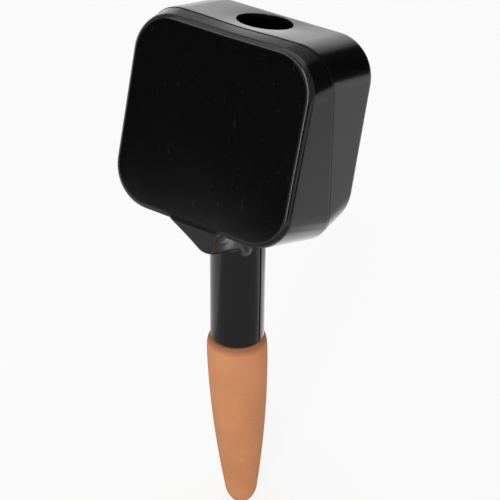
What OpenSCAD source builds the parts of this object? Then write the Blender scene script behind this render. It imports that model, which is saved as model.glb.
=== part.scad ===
// Plant watering spike: a leaning water tank in two welded halves, a round neck and a clay cone.
// Millimetres. The origin is the centre of the clay cone's rim, where the surface of the soil stands.
// +Z runs up the neck, -Y points to the front face, and the halves meet in the plane y = 0.

/* [Tank] */
// Width of the tank at the joint between its halves, and of its rear face to its sharp edges
tank_w = 84.5; // [66:0.5:104]
// Height of the tank at the joint
tank_h = 83.3; // [66:0.1:102]
// Corner radius of the outline at the joint
tank_corner = 16; // [12:0.5:20]
// Wall of the tank and of the gusset under its face
tank_wall = 2; // [1.6:0.1:2.4]
// Depth of the small bevel that each half has along the joint
seam_bevel = 0.3; // [0.2:0.05:0.4]

/* [Front half] */
// Distance by which the front face, to its sharp edges, is narrower than the joint
face_narrow = 3.6; // [2:0.1:6]
// Distance by which the front face, to its sharp edges, is lower than the joint
face_short = 6.5; // [5:0.1:8]
// Corner radius of the front face
face_corner = 16.4; // [12:0.1:20]
// Rounding of the edge round the front face
face_edge = 2.4; // [1.8:0.1:3]
// Angle by which the front face leans back, in degrees
face_lean = 16; // [12:0.5:20]
// Distance of the middle of the face in front of the joint
face_out = 19.5; // [16:0.1:24]
// Distance of the middle of the face above the middle of the joint
face_rise = 5.3; // [4:0.1:7]

/* [Rear half] */
// Distance by which the rear face, to its sharp edges, is lower than the joint
rear_short = 7.6; // [6:0.1:9]
// Corner radius of the rear face
rear_corner = 16.5; // [12:0.1:20]
// Rounding of the edge round the rear face
rear_edge = 3; // [2.2:0.1:3.4]
// Angle by which the rear face leans back, in degrees
rear_lean = 14; // [11:0.5:17]
// Distance of the middle of the rear face behind the joint
rear_out = 23; // [19:0.1:28]
// Distance of the middle of the rear face below the middle of the joint
rear_drop = 2.6; // [2:0.1:4]

/* [Filler hole] */
// Diameter of the filler hole in the sloping top of the rear half
fill_d = 22; // [16:0.1:22]
// Distance of the hole's centre behind the joint
fill_back = 17.4; // [15:0.1:18]
// Rounding of the hole's rim
fill_rim = 0.6; // [0.4:0.1:0.7]

/* [Neck] */
// Outer diameter of the neck
neck_d = 22; // [19:0.5:26]
// Length of the neck from the clay rim to the underside of the tank
neck_len = 55.9; // [46:0.1:67]
// Wall of the neck
neck_wall = 2; // [1.6:0.1:2.4]

/* [Gusset under the face] */
// Width of the gusset where it leaves the face
gusset_w = 24.4; // [20:0.1:29]
// Rounding of the gusset's upper corners
gusset_edge = 1.6; // [1.3:0.1:2]
// Diameter of the gusset's nose
nose_d = 7.5; // [6.2:0.1:9]
// Distance of the nose's front from the neck's axis
nose_out = 21; // [19:0.1:24]
// Distance of the nose's lower edge below the tank's underside
nose_drop = 6.7; // [5.5:0.1:8]
// Distance of the gusset's lower end on the neck below the tank's underside
gusset_drop = 9.3; // [8:0.1:11]

/* [Tongue and groove] */
// Length by which the front half's tongue enters the rear half
tongue_len = 1.5; // [1.2:0.1:1.8]
// Gap round the tongue
tongue_gap = 0.1; // [0.08:0.01:0.12]

/* [Spigot and sealing collar] */
// Outer diameter of the spigot below the neck
spigot_d = 15.8; // [13.5:0.1:17]
// Length of the spigot inside the clay
spigot_len = 14; // [12:0.5:17]
// Wall of the spigot
spigot_wall = 1.6; // [1.3:0.1:1.9]
// Bevel on the spigot's end
spigot_lead = 0.8; // [0.6:0.1:1]
// Thickness of the collar's sleeve
sleeve_wall = 1; // [0.8:0.1:1.2]
// Thickness of the collar's flange between the clay rim and the neck
flange_t = 0.6; // [0.5:0.05:0.8]
// Distance of the flange's edge inside the neck's surface
flange_inset = 0.5; // [0.4:0.1:0.7]
// Gap between the collar and each of its neighbours
collar_gap = 0.05; // [0.04:0.01:0.06]

/* [Clay cone] */
// Largest diameter of the clay cone
clay_d = 25.2; // [24:0.1:30]
// Length of the clay cone
clay_len = 88.5; // [73:0.5:106]
// Wall of the clay cone
clay_wall = 3.4; // [2.8:0.1:4]
// Diameter that the taper reaches at the tip, before the tip is rounded
clay_tip_d = 11.2; // [9.4:0.1:13.4]
// Distance of the widest place below the rim
clay_belly = 8; // [6.6:0.1:9.6]
// Length of the rounded tip
clay_tip_len = 8.6; // [7.2:0.1:10.4]
// Height of the rounded rim
clay_rim_h = 6; // [5:0.1:7.2]
// Distance by which the rounded rim draws in
clay_rim_in = 1.6; // [1.3:0.1:1.9]

/* [Hidden] */
$fn = 72;

// Overrun of cuts past the faces that they leave
over = 1;

// Counts of the lofted skins: steps in a corner, along a straight, from joint to edge, round an edge
corner_steps = 8;
side_steps = 3;
wall_steps = 3;
edge_steps = 4;

// Counts of the rows in the clay's outline: round its rim, along its body, round its tip
rim_steps = 6;
body_steps = 12;
tip_steps = 8;

// Facets of the gusset's round corners, and of its nose and its end on the neck
corner_fn = 20;
nose_fn = 32;

// Share of the wall that the tongue takes, and of the tank's tongue length that the neck's tongues have
tongue_share = 0.45;
neck_tongue_share = 0.8;

// Share of the tank's wall that the gusset's wall has, and of its edge that its end sinks into the neck
gusset_wall_share = 0.9;
gusset_sink_share = 0.5;

// Smallest share of the outer rounding that the rounding inside the tank has
inner_edge_share = 0.25;

// Power of the clay's taper, and the share of its wall at which the cavity closes towards the tip
clay_taper_power = 1.8;
cavity_end_share = 1.5;

face_w = tank_w - face_narrow;
face_h = tank_h - face_short;
rear_h = tank_h - rear_short;
tank_mid = neck_len + tank_h / 2;
neck_r = neck_d / 2;
neck_bore_r = neck_r - neck_wall;
neck_top = neck_len + tank_wall + neck_r;
shoulder_z = flange_t + 2 * collar_gap;
spigot_r = spigot_d / 2;
spigot_bore_r = spigot_r - spigot_wall;
socket_r = spigot_r + sleeve_wall + 2 * collar_gap;
clay_r = clay_d / 2;

// A half is [side of the joint, width, height, corner, edge, lean, distance from joint, height above zero]
front_half = [-1, face_w, face_h, face_corner, face_edge, face_lean, face_out, tank_mid + face_rise];
rear_half = [1, tank_w, rear_h, rear_corner, rear_edge, rear_lean, rear_out, tank_mid - rear_drop];

// Place of a half's sharp upper (1) or lower (-1) edge, as [distance from the joint, height]
function edge_place(half, end) = [
    half[6] + half[0] * end * half[2] / 2 * sin(half[5]),
    half[7] + end * half[2] / 2 * cos(half[5])
];

// Angle at which a half's floor rises from the joint, and at which the rear half's top falls from it
function floor_slope(half) = atan((edge_place(half, -1)[1] - neck_len) / edge_place(half, -1)[0]);
top_slope = atan((neck_len + tank_h - edge_place(rear_half, 1)[1]) / edge_place(rear_half, 1)[0]);

// Arc of one corner of a rounded rectangle, starting at the given angle
function corner(x, v, r, start) =
    [for (i = [0 : corner_steps]) let (a = start + 90 * i / corner_steps) [x + r * cos(a), v + r * sin(a)]];

// Points between two points, without the two
function between(a, b) = [for (i = [1 : side_steps - 1]) a + (b - a) * i / side_steps];

// Rounded rectangle with divided straight sides, the same number of points for every size
function rounded(w, h, r) =
    let (
        x = w / 2 - r, v = h / 2 - r,
        c = [corner(x, v, r, 0), corner(-x, v, r, 90), corner(-x, -v, r, 180), corner(x, -v, r, 270)]
    )
    [for (k = [0 : 3]) let (end = c[k][corner_steps], next = c[(k + 1) % 4][0])
        for (p = concat(c[k], between(end, next))) p];

// The outline at the joint, drawn in by the given distance, at the given distance behind the joint
function joint_ring(inset, y) =
    [for (p = rounded(tank_w - 2 * inset, tank_h - 2 * inset, tank_corner - inset))
        [p[0], y, tank_mid + p[1]]];

// The outline of a half's face, drawn in along the face and sunk behind it
function face_ring(half, inset, sink) =
    let (
        side = half[0], lean = half[5],
        y = side * (half[6] - sink * cos(lean)),
        z = half[7] + side * sink * sin(lean)
    )
    [for (p = rounded(half[1] - 2 * inset, half[2] - 2 * inset, half[3] - inset))
        [p[0], y + p[1] * sin(lean), z + p[1] * cos(lean)]];

function mix(a, b, t) = [for (i = [0 : len(a) - 1]) a[i] + (b[i] - a[i]) * t];

// Rings that turn from the wall to the face, tangent to both at their ends
function edge_rings(wall, sharp, flat) =
    [for (k = [0 : edge_steps])
        let (t = k / edge_steps, a = (1 - t) * (1 - t), b = sqrt(2) * t * (1 - t), c = t * t)
        [for (i = [0 : len(sharp) - 1]) (a * wall[i] + b * sharp[i] + c * flat[i]) / (a + b + c)]];

// The ring on the wall that lies one rounding away from the sharp edge
function before_edge(joint, sharp, edge) =
    [for (i = [0 : len(joint) - 1]) sharp[i] + (joint[i] - sharp[i]) * edge / norm(joint[i] - sharp[i])];

// Rings of one side of a half's wall, from a ring near the joint to its face, for the outside or the inside
function wall_rings(half, start, inset) =
    let (
        edge = max(half[4] - inset, inner_edge_share * half[4]),
        sharp = face_ring(half, inset, inset),
        wall = before_edge(start, sharp, edge)
    )
    concat(
        [for (k = [1 : wall_steps - 1]) mix(start, wall, k / wall_steps)],
        edge_rings(wall, sharp, face_ring(half, inset + edge, inset))
    );

function reversed(list) = [for (i = [len(list) - 1 : -1 : 0]) list[i]];

// A half as one folded stack of rings: its outside up to the joint, the given rim, then its inside
function cup_rings(half, rim) =
    let (start = joint_ring(0, half[0] * seam_bevel), inner = rim[len(rim) - 1])
    concat(
        reversed(wall_rings(half, start, 0)),
        [start, joint_ring(seam_bevel, 0)],
        rim,
        wall_rings(half, inner, tank_wall)
    );

// Closed skin over a stack of rings with equal numbers of points
module loft(rings, flip) {
    n = len(rings[0]);
    m = len(rings);
    function turn(f) = flip ? [f[2], f[1], f[0]] : f;
    sides = [for (k = [0 : m - 2], i = [0 : n - 1]) let (j = (i + 1) % n)
        each [
            turn([k * n + i, k * n + j, (k + 1) * n + j]),
            turn([k * n + i, (k + 1) * n + j, (k + 1) * n + i])
        ]];
    first = [for (i = [1 : n - 2]) turn([0, i + 1, i])];
    last = [for (i = [1 : n - 2]) turn([(m - 1) * n, (m - 1) * n + i, (m - 1) * n + i + 1])];
    polyhedron(points = [for (r = rings) each r], faces = concat(sides, first, last), convexity = 6);
}

// Front half of the tank: its rim carries the tongue
module front_cup() {
    tongue_at = tank_wall * (1 - tongue_share);
    loft(cup_rings(front_half, [
        joint_ring(tongue_at, 0),
        joint_ring(tongue_at, tongue_len),
        joint_ring(tank_wall, tongue_len),
        joint_ring(tank_wall, 0)
    ]), false);
}

// Rear half of the tank: its rim carries the groove
module rear_cup() {
    groove_at = tank_wall * (1 - tongue_share) - tongue_gap;
    loft(cup_rings(rear_half, [
        joint_ring(groove_at, 0),
        joint_ring(groove_at, tongue_len + tongue_gap),
        joint_ring(tank_wall, tongue_len + tongue_gap)
    ]), true);
}

// Everything above a plane that rises with a half's floor, at the given height over its underside
module above_floor(half, lift) {
    translate([0, 0, neck_len + lift])
        rotate([half[0] * floor_slope(half), 0, 0])
            translate([-tank_w, -tank_w, 0]) cube([2 * tank_w, 2 * tank_w, tank_h]);
}

// Bevel along the neck's seam, on its two sides
module neck_seam() {
    bevel = seam_bevel * sqrt(2);
    for (side = [-1, 1])
        translate([side * neck_r, 0, shoulder_z - over])
            rotate(45) translate([-bevel / 2, -bevel / 2, 0]) cube([bevel, bevel, neck_top]);
}

// Half of the neck with the spigot below its shoulder, up to the middle of the tank's floor
module half_neck(half) {
    difference() {
        rotate([0, 0, half[0] > 0 ? 0 : 180])
            rotate_extrude(angle = 180) polygon([
                [0, -spigot_len],
                [spigot_r - spigot_lead, -spigot_len],
                [spigot_r, spigot_lead - spigot_len],
                [spigot_r, shoulder_z],
                [neck_r, shoulder_z],
                [neck_r, neck_top],
                [0, neck_top]
            ]);
        neck_seam();
        above_floor(half, tank_wall / 2);
    }
}

// Waterway through spigot and neck into the tank
module neck_bore() {
    rotate_extrude() polygon([
        [0, -spigot_len - over],
        [spigot_bore_r, -spigot_len - over],
        [spigot_bore_r, neck_wall],
        [neck_bore_r, neck_wall + neck_bore_r - spigot_bore_r],
        [neck_bore_r, neck_top],
        [0, neck_top]
    ]);
}

// Straight tongues along the middle of the neck's wall, widened by the given gap for their grooves
module neck_tongues(gap) {
    half_t = tongue_share * neck_wall / 2 + gap;
    foot = 2 * neck_wall + neck_bore_r - spigot_bore_r - gap;
    for (side = [-1, 1])
        translate([side * (neck_r - neck_wall / 2) - half_t, -neck_wall / 2, foot])
            cube([2 * half_t, neck_wall / 2 + neck_tongue_share * tongue_len + gap, neck_len + gap - foot]);
}

// A point under the face: across, behind the face and above its lower edge
function under_face(x, behind, above) = let (e = edge_place(front_half, -1)) [
    x,
    -e[0] + above * sin(face_lean) + behind * cos(face_lean),
    e[1] + above * cos(face_lean) - behind * sin(face_lean)
];

// The gusset from the face's lower edge down to the neck: round upper corners, a blunt nose and the neck
module gusset(inset, lift, tube_r, roof) {
    hull() {
        for (side = [-1, 1])
            translate(under_face(side * (gusset_w / 2 - gusset_edge - inset), gusset_edge + inset, lift))
                sphere(gusset_edge, $fn = corner_fn);
        translate([0, nose_d / 2 - nose_out, neck_len - nose_drop + inset])
            cylinder(r = nose_d / 2 - inset, h = gusset_edge, $fn = nose_fn);
        difference() {
            translate([0, 0, neck_len - gusset_drop + inset])
                cylinder(r = tube_r - gusset_sink_share * gusset_edge, h = tank_h / 2, $fn = nose_fn);
            above_floor(front_half, roof);
            translate([-tank_w, -over, 0]) cube([2 * tank_w, tank_w, tank_h + neck_len]);
        }
    }
}

module front_shell() {
    color("#1d1d1f") difference() {
        union() {
            front_cup();
            half_neck(front_half);
            gusset(0, gusset_edge, neck_r, tank_wall / 2);
            neck_tongues(0);
        }
        neck_bore();
        gusset(gusset_wall_share * tank_wall, 2 * tank_wall, neck_bore_r, 2 * tank_wall);
    }
}

// Filler hole square to the sloping top, with its rounded rim
module filler_hole() {
    fill_r = fill_d / 2;
    translate([0, fill_back, neck_len + tank_h - fill_back * tan(top_slope)])
        rotate([-top_slope, 0, 0]) {
            translate([0, 0, -2 * tank_wall]) cylinder(r = fill_r, h = 2 * tank_wall + over);
            rotate_extrude() difference() {
                translate([fill_r - fill_rim, -fill_rim]) square([2 * fill_rim, fill_rim + over]);
                translate([fill_r + fill_rim, -fill_rim]) circle(fill_rim);
            }
        }
}

module rear_shell() {
    color("#222224") difference() {
        union() {
            rear_cup();
            half_neck(rear_half);
        }
        neck_bore();
        neck_tongues(tongue_gap);
        filler_hole();
    }
}

// Soft collar: a sleeve round the spigot and a flange between neck and clay
module seal_collar() {
    sleeve_in = spigot_r + collar_gap;
    sleeve_out = sleeve_in + sleeve_wall;
    color("#2a2422") rotate_extrude() polygon([
        [sleeve_in, spigot_lead - spigot_len],
        [sleeve_out, spigot_lead - spigot_len],
        [sleeve_out, collar_gap],
        [neck_r - flange_inset, collar_gap],
        [neck_r - flange_inset, collar_gap + flange_t],
        [sleeve_in, collar_gap + flange_t]
    ]);
}

// Outer radius of the clay at a distance below its rim: a rounded rim, a slow belly and a rounded tip
function clay_radius(d) =
    let (
        rim = max(0, 1 - d / clay_rim_h),
        taper = max(0, (d - clay_belly) / (clay_len - clay_belly)),
        tip = max(0, 1 - (clay_len - d) / clay_tip_len),
        rim_draw = clay_rim_in * (1 - sqrt(1 - rim * rim)),
        taper_draw = (clay_r - clay_tip_d / 2) * pow(taper, clay_taper_power)
    )
    (clay_r - rim_draw - taper_draw) * sqrt(max(0, 1 - tip * tip));

// Distances below the rim at which the clay's outline is taken, close together where it turns fast
rim_rows = [for (i = [0 : rim_steps - 1]) clay_rim_h * (1 - cos(90 * i / rim_steps))];
body_len = clay_len - clay_tip_len - clay_rim_h;
body_rows = [for (i = [0 : body_steps - 1]) clay_rim_h + body_len * i / body_steps];
tip_rows = [for (i = [0 : tip_steps]) clay_len - clay_tip_len * (1 - sin(90 * i / tip_steps))];

module clay_cone() {
    socket_depth = spigot_len + spigot_lead;
    rows = concat(rim_rows, body_rows, tip_rows);
    cavity = [for (d = rows) if (d > socket_depth && clay_radius(d) > cavity_end_share * clay_wall)
        [min(clay_radius(d) - clay_wall, socket_r), -d]];
    color("#c98e66") rotate_extrude() polygon(concat(
        [for (d = rows) [clay_radius(d), -d]],
        [[0, clay_wall - clay_len]],
        [for (i = [len(cavity) - 1 : -1 : 0]) cavity[i]],
        [[socket_r, -socket_depth], [socket_r, 0]]
    ));
}

front_shell();
rear_shell();
seal_collar();
clay_cone();
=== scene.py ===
"""Plant watering spike: a leaning black tank in two halves on a round neck, with a cone of fired clay.

Lengths are written in millimetres and made metres by mm(), those of the stage in metres, and angles in
degrees. The neck's axis is x = y = 0, the clay's rim stands at z = 0, the two halves of the tank meet in
the plane y = 0, and -Y is the front.
"""
from math import atan, cos, hypot, pi, radians, sin, sqrt, tan

import bmesh
import bpy
from mathutils import Matrix, Vector


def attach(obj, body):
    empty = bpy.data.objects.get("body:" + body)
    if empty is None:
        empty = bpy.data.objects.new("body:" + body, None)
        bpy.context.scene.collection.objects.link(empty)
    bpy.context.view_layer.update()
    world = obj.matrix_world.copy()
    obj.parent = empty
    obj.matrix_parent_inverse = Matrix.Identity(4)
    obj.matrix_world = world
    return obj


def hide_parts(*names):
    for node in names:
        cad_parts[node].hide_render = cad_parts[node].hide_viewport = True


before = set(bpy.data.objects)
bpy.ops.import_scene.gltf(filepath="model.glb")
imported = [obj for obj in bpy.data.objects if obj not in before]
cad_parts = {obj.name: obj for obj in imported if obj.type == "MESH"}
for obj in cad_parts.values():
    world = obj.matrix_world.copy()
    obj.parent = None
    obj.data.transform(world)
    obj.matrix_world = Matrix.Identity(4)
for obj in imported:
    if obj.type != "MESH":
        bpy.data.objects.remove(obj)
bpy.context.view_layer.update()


def mm(value):
    """A length in millimetres, or a list of them, in metres."""
    if isinstance(value, (int, float)):
        return value / 1000
    return tuple(v / 1000 for v in value)


# Tank at the joint between its halves, its wall, and the length of the neck below it
TANK_W = 84.8
TANK_H = 83.6
TANK_CORNER = 16
WALL = 2
NECK_LEN = 55.9
TANK_MID = NECK_LEN + TANK_H / 2

# Tongue of the front half and groove of the rear half, behind the outer land of the rim
LAND = 1.1
TONGUE = 1.5
TONGUE_GAP = 0.1
SEAM_ROUND = 0.18
SEAM_GAP = 0.06

# Neck with a groove along its joint, spigot below its shoulder, and the waterway through both
NECK_R = 11.12
NECK_DRAFT = 0.15
NECK_GAP = 0.72
NECK_ROUND = 0.2
SHOULDER_Z = 0.7
NECK_TOP = NECK_LEN + 14
SPIGOT_R = 7.9
SPIGOT_LEN = 14
SPIGOT_LEAD = 0.8
SPIGOT_BORE_R = 6.3
BORE_R = 9
BORE_TOP = NECK_LEN + 8

# The neck is cut off in the wall of the tank's floor, along the floor's slope, in front a little steeper
NECK_END = 0.75 * WALL
NECK_END_TILT = 3.3

# Gusset under the face, ruled from a lower to an upper outline, whose backs lie in the neck GUSSET_BACK in
# front of its axis. Its front is cut off GUSSET_INSET behind the face, leaning less by GUSSET_UPRIGHT
GUSSET_LOW = {"height": NECK_LEN - 7.4, "half_width": 2.43, "reach": 21.6, "corner": 2.4, "half_back": 10.1}
GUSSET_HIGH = {"height": NECK_TOP, "half_width": 14.2, "reach": 32.3, "corner": 3, "half_back": 11.2}
GUSSET_BACK = 4.5
GUSSET_INSET = 0.02
GUSSET_UPRIGHT = 2

# Lobe down each side of the gusset, from a ball in the neck's side, LOBE_OUT from its axis and LOBE_TURN
# from the front, to a smaller one inside the gusset
LOBE_R = 3
LOBE_OUT = 9.4
LOBE_TURN = 52
LOBE_Z = NECK_LEN - 8.8
LOBE_TOP_R = 2.4
LOBE_TOP = (7.8, -12, NECK_LEN + 1)

# How the neck is drawn out to the gusset: its outside is cut into rows, with more columns this far in front
# of the joint, and swells from nearer to the joint. The swelling is then softened, fully up to FADE_LOW
# below the face's sharp lower edge, and not at all from FADE_HIGH below it
SWELL_ROW = 0.35
SWELL_FINE = 1.9
SWELL_FROM = 1
FADE_LOW = 9
FADE_HIGH = 1
SOFT_PASSES = 60

# Filler hole in the sloping top of the rear half
FILL_R = 11
FILL_BACK = 16.8
FILL_RIM = 0.3

# Cage that lets the tank's top settle: its middle, and its spacing across, along and up. The points of its
# upper layer go down by TOP_SINK in each row, from 20 mm in front of the joint to 40 mm behind it, and the
# middle one of a row by TOP_SAG more. For the rear half all go down by RIM_LIFT less. The top follows softly
CAGE_MID = (0, 10, 120)
CAGE_STEP = (16, 10, 50)
TOP_SINK = (0.92, 0.76, 0.62, 0.6, 0.62, 0.64, 0.64)
TOP_SAG = (0, 0.2, 0.88, 2.9, 3.1, -0.55, 0)
RIM_LIFT = (0.31, 0.31, 0.31, 0.24, 0.18, 0.14, 0.14)

# Clay cone: a rounded rim, straight down to CLAY_STRAIGHT, then curved in towards a rounded tip. Its cavity
# narrows until the outside's radius is CAVITY_END, and outside and cavity both close with a small flat
CLAY_R = 12.6
CLAY_LEN = 88.5
CLAY_WALL = 3.4
CLAY_RIM_IN = 1.6
CLAY_RIM_LEN = 6
CLAY_STRAIGHT = 8
CLAY_TIP_R = 5.6
CLAY_TIP_LEN = 8.6
CLAY_CURVE = 1.8
CLAY_FLAT_R = 0.2
COLLAR_ROOM = 1.1
CAVITY_END = 1.5 * CLAY_WALL
CAVITY_FLAT_R = 0.5

# How the clay stands on the neck: it leans a little about a level axis, and stands a little aside
CLAY_LEAN = 1.7
CLAY_LEAN_AXIS = (0.566, -0.825, 0)
CLAY_ASIDE = (-0.15, -0.1, -0.2)

# Fineness of the meshes
CORNER_STEPS = 14
SIDE_CUTS = 47
WALL_CUTS = 23
EDGE_STEPS = 8
SEAM_STEPS = 3
RIM_STEPS = 6
GUSSET_STEPS = 12
NECK_SIDES = 120
BORE_SIDES = 96
ROUND_SIDES = 160
BALL_SIDES = 48
SMOOTH_ANGLE = 32

# Tolerances for picking parts of a mesh and for cutting it, and how far a cut runs past what it cuts
NEAR = 0.01
SKIN = 0.1
LONG = 5
MERGE = 0.0001
PAST = 1


class Half:
    """One half of the tank: side is -1 for the front and 1 for the rear.

    Width, height and corner are those of its leaning face before the edge is rounded, out is how far the
    face's centre stands from the joint, and middle is that centre's height.
    """

    def __init__(self, side, width, height, corner, edge, lean, out, middle):
        self.side, self.width, self.height, self.corner = side, width, height, corner
        self.edge, self.lean, self.out, self.middle = edge, radians(lean), out, middle
        self.normal = Vector((0, side * cos(self.lean), -side * sin(self.lean)))
        self.centre = Vector((0, side * out, middle))

    def brow(self, end):
        """The face's sharp upper (1) or lower (-1) edge, as its distance from the joint and its height."""
        reach = end * self.height / 2
        return self.out + self.side * reach * sin(self.lean), self.middle + reach * cos(self.lean)

    def floor_slope(self):
        """How steeply the tank's floor rises from the joint."""
        out, height = self.brow(-1)
        return atan((height - NECK_LEN) / out)


FRONT = Half(
    side=-1, width=TANK_W - 3.6, height=TANK_H - 6.5, corner=16.4, edge=2.4,
    lean=16, out=19.5, middle=TANK_MID + 5.3,
)
REAR = Half(
    side=1, width=TANK_W, height=TANK_H - 7.6, corner=16.5, edge=3,
    lean=14, out=23, middle=TANK_MID - 2.6,
)
TOP_SLOPE = atan((NECK_LEN + TANK_H - REAR.brow(1)[1]) / REAR.brow(1)[0])


# Hand tools

def deselect():
    if bpy.context.mode != "OBJECT":
        bpy.ops.object.mode_set(mode="OBJECT")
    bpy.ops.object.select_all(action="DESELECT")


def choose(piece):
    """Makes a piece the only one that is selected."""
    deselect()
    piece.select_set(True)
    bpy.context.view_layer.objects.active = piece


def take(name):
    """Names the primitive that was just added, and puts its place into its mesh."""
    piece = bpy.context.active_object
    piece.name = name
    piece.data.name = name
    bpy.ops.object.transform_apply(location=True, rotation=True, scale=True)
    return piece


def edit(piece):
    """Opens a piece for editing, with nothing in it selected."""
    choose(piece)
    bpy.ops.object.mode_set(mode="EDIT")
    bpy.ops.mesh.select_all(action="DESELECT")


def close():
    bpy.ops.object.mode_set(mode="OBJECT")


def pick(kind, test):
    """Selects the vertices, edges or faces of the piece being edited that pass a test."""
    bpy.ops.mesh.select_mode(type=kind)
    bpy.ops.mesh.select_all(action="DESELECT")
    data = bpy.context.edit_object.data
    mesh = bmesh.from_edit_mesh(data)
    items = {"VERT": mesh.verts, "EDGE": mesh.edges, "FACE": mesh.faces}[kind]
    for item in items:
        if test(item):
            item.select_set(True)
    mesh.select_flush_mode()
    bmesh.update_edit_mesh(data)


def both(edge, test):
    """Whether both ends of an edge pass a test."""
    return all(test(v.co) for v in edge.verts)


def outward():
    """Turns all faces of the piece being edited outwards."""
    bpy.ops.mesh.select_all(action="SELECT")
    bpy.ops.mesh.normals_make_consistent(inside=False)


def draw_on(step):
    """Extrudes the selected faces by a step."""
    bpy.ops.mesh.extrude_region_move(TRANSFORM_OT_translate={"value": mm(step)})


def round_edges(radius, steps):
    """Rounds the selected edges."""
    bpy.ops.mesh.bevel(offset=mm(radius), segments=steps, profile=0.5, affect="EDGES", clamp_overlap=False)


def round_corners(radius, steps):
    """Rounds the selected vertices of a flat outline."""
    bpy.ops.mesh.bevel(
        offset=mm(radius), offset_type="OFFSET", segments=steps, profile=0.5, affect="VERTICES"
    )


def slice_off(point, normal):
    """Cuts the piece being edited along a plane, drops what lies on the normal's side and closes the cut."""
    bpy.ops.mesh.select_all(action="SELECT")
    bpy.ops.mesh.bisect(
        plane_co=mm(point), plane_no=normal, use_fill=True, clear_outer=True, threshold=mm(MERGE)
    )


def join(first, *others):
    """Makes several pieces one, under the name of the first."""
    deselect()
    for piece in (first, *others):
        piece.select_set(True)
    bpy.context.view_layer.objects.active = first
    bpy.ops.object.join()
    return first


def settle_at(piece, place):
    """Moves and turns a piece, and puts that into its mesh."""
    choose(piece)
    piece.matrix_world = place
    bpy.ops.object.transform_apply(location=True, rotation=True, scale=True)


def apply(piece, kind, **settings):
    """Adds a modifier with the given settings and applies it."""
    choose(piece)
    modifier = piece.modifiers.new(kind.lower(), kind)
    for key, value in settings.items():
        setattr(modifier, key, value)
    bpy.ops.object.modifier_apply(modifier=modifier.name)


def combine(piece, tool, operation):
    """Joins a closed tool to a closed piece, or cuts it away, and uses the tool up."""
    apply(piece, "BOOLEAN", object=tool, operation=operation, solver="EXACT")
    bpy.data.objects.remove(tool)


# The tank's halves

def outline(name, width, height, corner, centre, lean):
    """A rounded rectangle of edges that leans back, with divided straight sides."""
    bpy.ops.mesh.primitive_plane_add(size=1, location=mm(centre), rotation=(pi / 2 - lean, 0, 0))
    bpy.context.active_object.scale = (*mm((width, height)), 1)
    ring = take(name)
    edit(ring)
    bpy.ops.mesh.select_all(action="SELECT")
    round_corners(corner, CORNER_STEPS)
    pick("EDGE", lambda e: e.calc_length() > mm(corner))
    bpy.ops.mesh.subdivide(number_cuts=SIDE_CUTS)
    bpy.ops.mesh.select_all(action="SELECT")
    bpy.ops.mesh.delete(type="ONLY_FACE")
    close()
    return ring


def cup(half, name):
    """One half of the tank: a leaning face with a rounded edge, ruled walls, a rim and the hollow inside."""
    joint = outline(name, TANK_W, TANK_H, TANK_CORNER, (0, half.side * SEAM_GAP / 2, TANK_MID), 0)
    face = outline("face", half.width, half.height, half.corner, half.centre, half.lean)
    shell = join(joint, face)
    centre, normal = Vector(mm(half.centre)), half.normal

    def on_face(co):
        return abs((co - centre).dot(normal)) < mm(NEAR)

    def on_joint(co):
        return abs(co.y) < mm(SEAM_GAP)

    edit(shell)
    bpy.ops.mesh.select_mode(type="EDGE")
    bpy.ops.mesh.select_all(action="SELECT")
    bpy.ops.mesh.bridge_edge_loops()
    for flat in (on_face, on_joint):
        pick("EDGE", lambda e: both(e, flat))
        bpy.ops.mesh.edge_face_add()
    outward()
    pick("EDGE", lambda e: both(e, on_face))
    round_edges(half.edge, EDGE_STEPS)
    pick("EDGE", lambda e: both(e, on_joint))
    round_edges(SEAM_ROUND, SEAM_STEPS)
    pick("EDGE", lambda e: e.calc_length() > mm(LONG))
    bpy.ops.mesh.subdivide(number_cuts=WALL_CUTS)
    hollow(half)
    close()
    return shell


def hollow(half):
    """Rim and inside of the half being edited, worked from the flat face at its joint."""
    depth = TONGUE if half is FRONT else TONGUE + TONGUE_GAP
    land = LAND if half is FRONT else LAND - TONGUE_GAP

    def at_joint(face):
        return abs(face.calc_center_median().y) < mm(SEAM_GAP) and face.calc_area() > mm(TANK_CORNER) ** 2

    pick("FACE", at_joint)
    bpy.ops.mesh.inset(thickness=mm(land - SEAM_ROUND))
    draw_on((0, depth - half.side * SEAM_GAP / 2, 0))
    bpy.ops.mesh.inset(thickness=mm(WALL - land))
    inner = half.centre - half.normal * WALL
    draw_on(inner - Vector((0, depth, TANK_MID)))
    narrower = (half.width - 2 * WALL) / (TANK_W - 2 * WALL)
    lower = (half.height - 2 * WALL) / (TANK_H - 2 * WALL)
    bpy.ops.transform.resize(value=(narrower, 1, lower), center_override=mm(inner))
    bpy.ops.transform.rotate(
        value=half.lean, orient_axis="X", orient_type="GLOBAL", center_override=mm(inner)
    )


# Neck and gusset

def turned(name, profile, sides):
    """A closed body turned round the neck's axis: a disc, drawn on from point to point of its profile."""
    radius, height = profile[0]
    bpy.ops.mesh.primitive_circle_add(
        vertices=sides, radius=mm(radius), fill_type="NGON", location=(0, 0, mm(height))
    )
    body = take(name)
    edit(body)
    bpy.ops.mesh.select_mode(type="FACE")
    bpy.ops.mesh.select_all(action="SELECT")
    for next_radius, next_height in profile[1:]:
        draw_on((0, 0, next_height - height))
        share = next_radius / radius
        bpy.ops.transform.resize(value=(share, share, 1), center_override=(0, 0, 0))
        radius, height = next_radius, next_height
    outward()
    close()
    return body


def under_face(behind, above):
    """A point behind and above the middle of the front face's sharp lower edge."""
    out, height = FRONT.brow(-1)
    lean = FRONT.lean
    return 0, above * sin(lean) + behind * cos(lean) - out, height + above * cos(lean) - behind * sin(lean)


def ball(radius, place):
    bpy.ops.mesh.primitive_uv_sphere_add(
        segments=BALL_SIDES, ring_count=BALL_SIDES // 2, radius=mm(radius), location=mm(place)
    )
    return take("ball")


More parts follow.
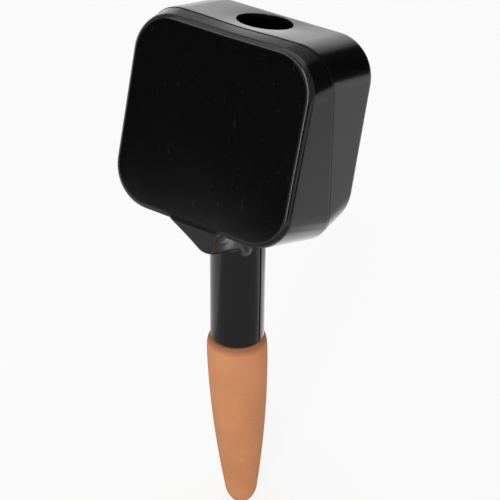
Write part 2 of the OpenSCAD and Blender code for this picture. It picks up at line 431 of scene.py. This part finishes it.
def hull(first, *others):
    """The convex form round some bodies."""
    form = join(first, *others)
    edit(form)
    bpy.ops.mesh.select_all(action="SELECT")
    bpy.ops.mesh.convex_hull()
    close()
    return form


def gusset_ring(name, height, half_width, reach, corner, half_back):
    """A level outline of the gusset: two round corners in front, and nearly as wide as the neck behind."""
    middle, half_depth = (reach + GUSSET_BACK) / 2, (reach - GUSSET_BACK) / 2
    bpy.ops.mesh.primitive_plane_add(size=2, location=mm((0, -middle, height)))
    bpy.context.active_object.scale = (*mm((half_back, half_depth)), 1)
    ring = take(name)
    edit(ring)
    pick("VERT", lambda v: v.co.y < -mm(middle))
    bpy.ops.transform.resize(value=(half_width / half_back, 1, 1), center_override=(0, 0, 0))
    round_corners(corner, GUSSET_STEPS)
    bpy.ops.mesh.select_all(action="SELECT")
    bpy.ops.mesh.delete(type="ONLY_FACE")
    close()
    return ring


def gusset_form():
    """The form that the neck swells to: ruled flanks from a blunt nose to the face, and the two lobes."""
    form = join(gusset_ring("gusset", **GUSSET_LOW), gusset_ring("top", **GUSSET_HIGH))
    edit(form)
    bpy.ops.mesh.select_mode(type="EDGE")
    bpy.ops.mesh.select_all(action="SELECT")
    bpy.ops.mesh.bridge_edge_loops(number_cuts=GUSSET_STEPS, interpolation="LINEAR")
    for ring in (GUSSET_LOW, GUSSET_HIGH):
        level = mm(ring["height"])
        pick("EDGE", lambda e: both(e, lambda co: abs(co.z - level) < mm(NEAR)))
        bpy.ops.mesh.edge_face_add()
    outward()
    lean = FRONT.lean - radians(GUSSET_UPRIGHT)
    slice_off(under_face(GUSSET_INSET, FRONT.edge), Vector((0, -cos(lean), sin(lean))))
    outward()
    close()
    turn = radians(LOBE_TURN)
    top_across, top_along, top_height = LOBE_TOP
    for side in (-1, 1):
        foot = ball(LOBE_R, (side * LOBE_OUT * sin(turn), -LOBE_OUT * cos(turn), LOBE_Z))
        top = ball(LOBE_TOP_R, (side * top_across, top_along, top_height))
        combine(form, hull(foot, top), "UNION")
    return form


def swell(neck):
    """Draws the front of the neck out to the gusset's form."""

    def on_skin(co, reach):
        return co.y < -mm(reach) and hypot(co.x, co.y) > mm(NECK_R - SKIN)

    edit(neck)
    pick("EDGE", lambda e: both(e, lambda co: on_skin(co, SWELL_FINE)) and e.verts[0].co.z == e.verts[1].co.z)
    bpy.ops.mesh.subdivide(number_cuts=2)
    low, high = LOBE_Z - LOBE_R - PAST, NECK_TOP - PAST
    for row in range(int((high - low) / SWELL_ROW)):
        height = mm(low + row * SWELL_ROW)
        bpy.ops.mesh.select_all(action="SELECT")
        bpy.ops.mesh.bisect(plane_co=(0, 0, height), plane_no=(0, 0, 1), threshold=mm(MERGE))
    third_row = mm(low + 1.5 * SWELL_ROW)
    pick("VERT", lambda v: v.co.z > third_row and on_skin(v.co, SWELL_FROM))
    close()
    front = neck.vertex_groups.new(name="front")
    front.add([v.index for v in neck.data.vertices if v.select], 1, "REPLACE")
    form = gusset_form()
    apply(neck, "SHRINKWRAP", target=form, wrap_method="PROJECT", vertex_group="front")
    bpy.data.objects.remove(form)
    brow = FRONT.brow(-1)[1]
    fade_low, fade_high = mm(brow - FADE_LOW), mm(brow - FADE_HIGH)
    front = neck.vertex_groups["front"]
    for v in neck.data.vertices:
        if v.co.z > fade_low and v.co.y < -mm(SWELL_FROM):
            front.add([v.index], max(0, (fade_high - v.co.z) / (fade_high - fade_low)), "REPLACE")
    apply(neck, "SMOOTH", factor=0.5, iterations=SOFT_PASSES, vertex_group="front")


def half_neck(half):
    """Half of the neck, closed along the joint, with half of the spigot below its shoulder."""
    neck = turned("neck", [
        (SPIGOT_R - SPIGOT_LEAD, -SPIGOT_LEN),
        (SPIGOT_R, SPIGOT_LEAD - SPIGOT_LEN),
        (SPIGOT_R, SHOULDER_Z),
        (NECK_R, SHOULDER_Z),
        (NECK_R + NECK_DRAFT, NECK_TOP),
    ], NECK_SIDES)

    def at_groove(co):
        return abs(co.x) > mm(NECK_R - SKIN) and abs(co.y) < mm(NECK_GAP / 2 + NEAR)

    edit(neck)
    slice_off((0, half.side * NECK_GAP / 2, 0), (0, -half.side, 0))
    pick("EDGE", lambda e: both(e, at_groove) and e.calc_length() > mm(LONG))
    round_edges(NECK_ROUND, SEAM_STEPS)
    close()
    if half is FRONT:
        swell(neck)
    slope = half.floor_slope() + (radians(NECK_END_TILT) if half is FRONT else 0)
    edit(neck)
    slice_off((0, 0, NECK_LEN + NECK_END), (0, -half.side * sin(slope), cos(slope)))
    outward()
    close()
    return neck


# Openings and the settled top

def waterway():
    """The round way through spigot, neck and floor."""
    return turned("waterway", [
        (SPIGOT_BORE_R, -SPIGOT_LEN - PAST),
        (SPIGOT_BORE_R, WALL),
        (BORE_R, WALL + BORE_R - SPIGOT_BORE_R),
        (BORE_R, BORE_TOP),
    ], BORE_SIDES)


def filler():
    """The filler hole with its rounded rim, square to the sloping top."""
    turns = [pi / 2 * k / RIM_STEPS for k in range(RIM_STEPS + 1)]
    rim = [(FILL_R + FILL_RIM * (1 - cos(turn)), FILL_RIM * (sin(turn) - 1)) for turn in turns]
    hole = turned("filler", [(FILL_R, -3 * WALL), *rim, (FILL_R + FILL_RIM, WALL)], ROUND_SIDES)
    top = NECK_LEN + TANK_H - FILL_BACK * tan(TOP_SLOPE)
    settle_at(hole, Matrix.Translation(mm((0, FILL_BACK, top))) @ Matrix.Rotation(-TOP_SLOPE, 4, "X"))
    return hole


def settle(piece, half):
    """Lets the tank's top sink a little and sag round the filler hole, less in the rear half."""
    rows = len(TOP_SINK)
    layer = rows * rows
    lattice = bpy.data.lattices.new("settling")
    lattice.points_u, lattice.points_v, lattice.points_w = rows, rows, 2
    cage = bpy.data.objects.new("settling", lattice)
    bpy.context.scene.collection.objects.link(cage)
    cage.location = mm(CAGE_MID)
    cage.scale = mm(CAGE_STEP)
    for index in range(layer):
        across, along = index % rows, index // rows
        drop = TOP_SINK[along]
        if across == rows // 2:
            drop += TOP_SAG[along]
        if half is REAR:
            drop -= RIM_LIFT[along]
        lattice.points[layer + index].co_deform.z -= drop / CAGE_STEP[2]
    apply(piece, "LATTICE", object=cage)
    bpy.data.objects.remove(cage)


def moulding(half, name):
    """A half of the tank in one with its half of the neck."""
    shell = cup(half, name)
    combine(shell, half_neck(half), "UNION")
    combine(shell, waterway(), "DIFFERENCE")
    if half is REAR:
        combine(shell, filler(), "DIFFERENCE")
    settle(shell, half)
    return shell


# Clay cone

def clay_radius(depth):
    """Outer radius of the clay at a depth below its rim."""
    rim = max(0, 1 - depth / CLAY_RIM_LEN)
    taper = max(0, (depth - CLAY_STRAIGHT) / (CLAY_LEN - CLAY_STRAIGHT))
    tip = max(0, 1 - (CLAY_LEN - depth) / CLAY_TIP_LEN)
    body = CLAY_R - CLAY_RIM_IN * (1 - sqrt(1 - rim * rim)) - (CLAY_R - CLAY_TIP_R) * taper ** CLAY_CURVE
    return body * sqrt(max(0, 1 - tip * tip))


def clay_cone():
    """The hollow cone: an even wall, and a socket for the collar below its rim."""
    socket_r, socket_depth = SPIGOT_R + COLLAR_ROOM, SPIGOT_LEN + SPIGOT_LEAD
    rim_rows, body_rows, tip_rows = 10, 40, 20
    body_len = CLAY_LEN - CLAY_RIM_LEN - CLAY_TIP_LEN
    rows = [CLAY_RIM_LEN * (1 - cos(pi / 2 * k / rim_rows)) for k in range(rim_rows)]
    rows += [CLAY_RIM_LEN + body_len * k / body_rows for k in range(body_rows)]
    rows += [CLAY_LEN - CLAY_TIP_LEN * (1 - sin(pi / 2 * k / tip_rows)) for k in range(tip_rows)]
    inside = [
        (min(clay_radius(d) - CLAY_WALL, socket_r), -d)
        for d in rows if d > socket_depth and clay_radius(d) > CAVITY_END
    ]
    profile = [(CAVITY_FLAT_R, CLAY_WALL - CLAY_LEN), *reversed(inside)]
    profile += [(socket_r, -socket_depth), (socket_r, 0)]
    profile += [(clay_radius(d), -d) for d in rows] + [(CLAY_FLAT_R, -CLAY_LEN)]
    cone = turned("clay", profile, ROUND_SIDES)
    lean = Matrix.Rotation(radians(CLAY_LEAN), 4, Vector(CLAY_LEAN_AXIS))
    settle_at(cone, Matrix.Translation(mm(CLAY_ASIDE)) @ lean)
    return cone


# Finishes, with the scales and depths of their patterns in metres

# Numbers of the Mix node's sockets for colours: the share, the two colours and the result
MIX_SHARE, MIX_LOW, MIX_HIGH, MIX_RESULT = 0, 6, 7, 2


class Wire:
    """A value in a finish's nodes: arithmetic on it adds Math nodes."""

    def __init__(self, finish, socket):
        self.finish, self.socket = finish, socket

    def _math(self, operation, *values):
        return self.finish.node("ShaderNodeMath", {"operation": operation}, dict(enumerate(values)))

    def __add__(self, other):
        return self._math("ADD", self, other)

    def __mul__(self, other):
        return self._math("MULTIPLY", self, other)

    __radd__ = __add__
    __rmul__ = __mul__

    def between(self, low, high):
        """0 below low, 1 above high and even in between."""
        limits = {"Value": self, "From Min": low, "From Max": high}
        return self.finish.node("ShaderNodeMapRange", {"clamp": True}, limits)


class Finish:
    """A material with one Principled shader."""

    def __init__(self, name, **sockets):
        self.material = bpy.data.materials.new(name)
        self.material.use_nodes = True
        self.nodes = self.material.node_tree.nodes
        self.links = self.material.node_tree.links
        self.shader = self.nodes["Principled BSDF"]
        self.shader.distribution = "MULTI_GGX"
        for key, value in sockets.items():
            self.put(key.replace("_", " "), value)
        self.place = self.node("ShaderNodeTexCoord", {}, {}, "Object")

    def node(self, kind, settings, values, output=0):
        """Adds a node: its settings first, then the values or links of its sockets."""
        made = self.nodes.new(kind)
        for key, value in settings.items():
            setattr(made, key, value)
        for key, value in values.items():
            if isinstance(value, Wire):
                self.links.new(value.socket, made.inputs[key])
            else:
                made.inputs[key].default_value = value
        return Wire(self, made.outputs[output])

    def put(self, key, value):
        """Sets or links a socket of the shader."""
        if isinstance(value, Wire):
            self.links.new(value.socket, self.shader.inputs[key])
        else:
            self.shader.inputs[key].default_value = value

    def noise(self, scale, detail=2.0, roughness=0.5, distortion=0.0, stretch=(1, 1, 1)):
        place = self.place
        if stretch != (1, 1, 1):
            place = self.node("ShaderNodeMapping", {}, {"Vector": self.place, "Scale": stretch})
        return self.node("ShaderNodeTexNoise", {}, {
            "Vector": place, "Scale": scale, "Detail": detail,
            "Roughness": roughness, "Distortion": distortion,
        })

    def blend(self, share, low, high):
        """A colour between two colours."""
        sockets = {MIX_SHARE: share, MIX_LOW: low, MIX_HIGH: high}
        return self.node("ShaderNodeMix", {"data_type": "RGBA"}, sockets, MIX_RESULT)

    def bump(self, height, distance):
        return self.node("ShaderNodeBump", {}, {"Height": height, "Distance": distance})


def black_plastic(name):
    """Moulded black plastic with a satin gloss, a fine grain, a few specks of dust and faint scuffs."""
    deep, worn, dust = (0.002, 0.002, 0.0021, 1), (0.0045, 0.0045, 0.0046, 1), (0.03, 0.03, 0.03, 1)
    finish = Finish(name, IOR=1.46)
    grain = finish.noise(scale=2600)
    cloud = finish.noise(scale=45, detail=3)
    specks = finish.noise(scale=1100, detail=1).between(0.7, 0.78)
    streaks = finish.noise(scale=420, detail=3, roughness=0.6, distortion=0.4, stretch=(1, 1, 0.12))
    scuffs = streaks.between(0.62, 0.7) * cloud.between(0.45, 0.6)
    black = finish.blend(grain.between(0.35, 0.75), deep, worn)
    finish.put("Base Color", finish.blend(0.4 * specks + 0.08 * scuffs, black, dust))
    finish.put("Roughness", 0.13 + 0.06 * cloud + 0.04 * grain + 0.08 * scuffs)
    finish.put("Normal", finish.bump(grain, 0.000004))
    return finish.material


def fired_clay():
    """Unglazed fired clay: matt and softly mottled, with fine grit and faint rubs, and painted shade on the
    rim below the collar.
    """
    dark, light = (0.56, 0.232, 0.1, 1), (0.76, 0.335, 0.158, 1)
    chalky, collar_shade = (0.8, 0.42, 0.22, 1), (0.24, 0.085, 0.035, 1)
    finish = Finish("fired_clay", IOR=1.45, Specular_IOR_Level=0.3)
    mottle = finish.noise(scale=55, detail=4, roughness=0.55)
    drift = finish.noise(scale=18)
    grit = finish.noise(scale=1500, detail=3, roughness=0.6)
    share = (0.45 * mottle + 0.35 * drift + 0.2 * grit).between(0.32, 0.66)
    height = finish.node("ShaderNodeSeparateXYZ", {}, {"Vector": finish.place}, "Z")
    # Painted shade: the base colour darkens towards the rim, over the 2.8 mm below the collar
    rim = (height + 0.002 * mottle).between(-0.0028, 0)
    rubs = finish.noise(scale=260, distortion=1.5, stretch=(1, 1, 0.35)).between(0.66, 0.72)
    rubbed = finish.blend(0.2 * rubs, finish.blend(share, dark, light), chalky)
    finish.put("Base Color", finish.blend(0.6 * rim, rubbed, collar_shade))
    finish.put("Roughness", 0.8 + 0.15 * mottle)
    finish.put("Normal", finish.bump(0.3 * mottle + grit, 0.00006))
    return finish.material


def dark_rubber():
    """Dark matt rubber of the collar, with a fine grain."""
    deep, worn = (0.006, 0.005, 0.005, 1), (0.014, 0.011, 0.01, 1)
    finish = Finish("dark_rubber", IOR=1.5)
    grain = finish.noise(scale=1800)
    finish.put("Base Color", finish.blend(grain, deep, worn))
    finish.put("Roughness", 0.6 + 0.2 * grain)
    return finish.material


def dress(piece, material):
    piece.data.materials.clear()
    piece.data.materials.append(material)


front_half = moulding(FRONT, "front_half")
rear_half = moulding(REAR, "rear_half")
clay = clay_cone()
for piece, node, slot, material in (
    (front_half, "front_shell", "front_plastic", black_plastic("front_black")),
    (rear_half, "rear_shell", "rear_plastic", black_plastic("rear_black")),
    (clay, "clay_cone", "clay", fired_clay()),
):
    choose(piece)
    bpy.ops.object.shade_smooth_by_angle(angle=radians(SMOOTH_ANGLE))
    dress(piece, material)
    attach(piece, "root")
    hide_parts(node)
dress(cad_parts["seal_collar"], dark_rubber())


# Stage: floor, light and camera, with sizes and places in metres

FLOOR_SIZE = 6
FLOOR_Z = mm(-CLAY_LEN - 0.2)
CARD_Z = mm(1 - CLAY_LEN)
PAPER_WHITE = 0.8
# Shade of the sheets that paint dark reflections
DARK_REFLECTION_SHADE = 0.01

# Camera as fitted to the photograph's outlines: its picture, focal length and sideways shift are in pixels
VIEW_AZIMUTH = 34.45
VIEW_ELEVATION = 31.97
VIEW_ROLL = 0.686
VIEW_TARGET = (0.00622, 0, 0.04285)
VIEW_DISTANCE = 0.71807
PICTURE_PX = 500
FOCAL_PX = 1799.4
SHIFT_PX = -0.6
SENSOR_MM = 36


def floor():
    """Pale paper that is partly white by itself where it is seen or reflected, and keeps the shadow."""
    bpy.ops.mesh.primitive_plane_add(size=FLOOR_SIZE, location=(0, 0, FLOOR_Z))
    ground = take("floor")
    paper = Finish("paper", Base_Color=(0.9, 0.9, 0.9, 1), Roughness=0.9, Specular_IOR_Level=0.0)
    seen = paper.node("ShaderNodeLightPath", {}, {}, "Is Camera Ray")
    for kind in ("Is Glossy Ray", "Is Transmission Ray"):
        seen = seen + paper.node("ShaderNodeLightPath", {}, {}, kind)
    white = paper.node("ShaderNodeEmission", {}, {"Color": (1, 1, 1, 1), "Strength": 1.0})
    lit = Wire(paper, paper.shader.outputs[0])
    mixed = paper.node("ShaderNodeMixShader", {}, {0: PAPER_WHITE * seen, 1: lit, 2: white})
    paper.links.new(mixed.socket, paper.nodes["Material Output"].inputs["Surface"])
    dress(ground, paper.material)


def around(bearing, distance, height):
    """A place round the object, with its bearing from the front towards the right."""
    turn = radians(bearing)
    return Vector((distance * sin(turn), -distance * cos(turn), height))


def turn_to(place, aim):
    return (Vector(aim) - place).to_track_quat("-Z", "Y").to_euler()


def softbox(name, place, aim, width, height, glow):
    """A rectangular lamp whose surface is glow times as bright as white paper."""
    lamp = bpy.data.lights.new(name, "AREA")
    lamp.shape, lamp.size, lamp.size_y = "RECTANGLE", width, height
    lamp.energy = glow * pi * width * height
    box = bpy.data.objects.new(name, lamp)
    bpy.context.scene.collection.objects.link(box)
    box.location = place
    box.rotation_euler = turn_to(place, aim)
    box.visible_camera = False


def reflection_sheet(name, place, turn, width, height, shade, glow=0.0):
    """A sheet that shows only in reflections: its shade paints a dark reflection onto the glossy plastic, its
    glow a bright one.
    """
    bpy.ops.mesh.primitive_plane_add(size=1, location=place, rotation=turn)
    bpy.context.active_object.scale = (width, height, 1)
    sheet = take(name)
    sheet.visible_camera = sheet.visible_diffuse = sheet.visible_shadow = False
    board = Finish(
        name, Base_Color=(shade, shade, shade, 1), Roughness=1.0, Specular_IOR_Level=0.0,
        Emission_Color=(1, 1, 1, 1), Emission_Strength=glow,
    )
    dress(sheet, board.material)


def dark_reflection_sheet(name, place, width, height):
    """A dark sheet standing and facing the neck's axis: a painted dark reflection, seen nowhere else."""
    reflection_sheet(name, place, turn_to(place, (0, 0, place.z)), width, height, DARK_REFLECTION_SHADE)


def floor_reflection_sheet(name, centre, width, depth, shade, glow=0.0):
    """A sheet just above the floor: a painted reflection of the floor, darker by its shade or brighter by its
    glow.
    """
    reflection_sheet(name, (*centre, CARD_Z), (0, 0, 0), width, depth, shade, glow)


def surroundings(strength):
    """Even white light from all round."""
    world = bpy.data.worlds.new("studio")
    world.use_nodes = True
    world.node_tree.nodes["Background"].inputs["Color"].default_value = (1, 1, 1, 1)
    world.node_tree.nodes["Background"].inputs["Strength"].default_value = strength
    bpy.context.scene.world = world


def camera():
    azimuth, elevation, roll = radians(VIEW_AZIMUTH), radians(VIEW_ELEVATION), radians(VIEW_ROLL)
    back = Vector((sin(azimuth) * cos(elevation), -cos(azimuth) * cos(elevation), sin(elevation)))
    right = Vector((cos(azimuth), sin(azimuth), 0))
    up = back.cross(right)
    across = right * cos(roll) + up * sin(roll)
    over = up * cos(roll) - right * sin(roll)
    lens = bpy.data.cameras.new("camera")
    lens.sensor_width = SENSOR_MM
    lens.lens = FOCAL_PX / PICTURE_PX * SENSOR_MM
    lens.shift_x = SHIFT_PX / PICTURE_PX
    viewer = bpy.data.objects.new("camera", lens)
    bpy.context.scene.collection.objects.link(viewer)
    place = Matrix.Translation(Vector(VIEW_TARGET) + back * VIEW_DISTANCE)
    viewer.matrix_world = place @ Matrix((across, over, back)).transposed().to_4x4()
    bpy.context.scene.camera = viewer


floor()
camera()
surroundings(0.4)
softbox("overhead", Vector((-0.1, 0.3, 1.2)), (-0.1, 0.3, -0.09), width=1.3, height=1.3, glow=1.2)
softbox("key", around(-28, 0.88, 1.3), (0, 0, 0.13), width=1.7, height=0.24, glow=3.2)
softbox("back_low", around(-151, 1.1, 0.22), (0, 0, 0.1), width=0.95, height=0.5, glow=0.8)
softbox("strip", around(21, 1.0, 0.5), (0, 0, 0.1), width=0.15, height=1.15, glow=7.6)
# Painted dark reflections: dark sheets that show only in the glossy plastic, on the face, its right edge, the
# right side and the upper right corner
dark_reflection_sheet("dark_reflection_left", around(-38, 0.95, 0.42), width=0.95, height=1.05)
dark_reflection_sheet("dark_reflection_front", around(43, 0.95, 0.04), width=0.34, height=0.26)
dark_reflection_sheet("dark_reflection_right", around(98, 0.42, -0.05), width=0.26, height=0.075)
dark_reflection_sheet("dark_reflection_back", around(148, 1.15, 0.7), width=1.42, height=1.58)
# Painted floor reflections: sheets that show only in reflections, darker than the floor under the gusset, in
# front and to the right, and one at the back that glows to paint a bright reflection on the lower corners
floor_reflection_sheet("card_left", (-0.07, -0.01), width=0.12, depth=0.11, shade=0.28)
floor_reflection_sheet("card_front", (0.095, -0.215), width=0.45, depth=0.29, shade=0.5)
floor_reflection_sheet("card_right", (0.2, 0.02), width=0.24, depth=0.18, shade=0.5)
floor_reflection_sheet("card_side", (0.245, 0.275), width=0.23, depth=0.35, shade=0.86)
floor_reflection_sheet("glow_reflection_back", (0.03, 0.125), width=0.18, depth=0.13, shade=0.01, glow=1.45)
bpy.context.scene.view_settings.view_transform = "Standard"
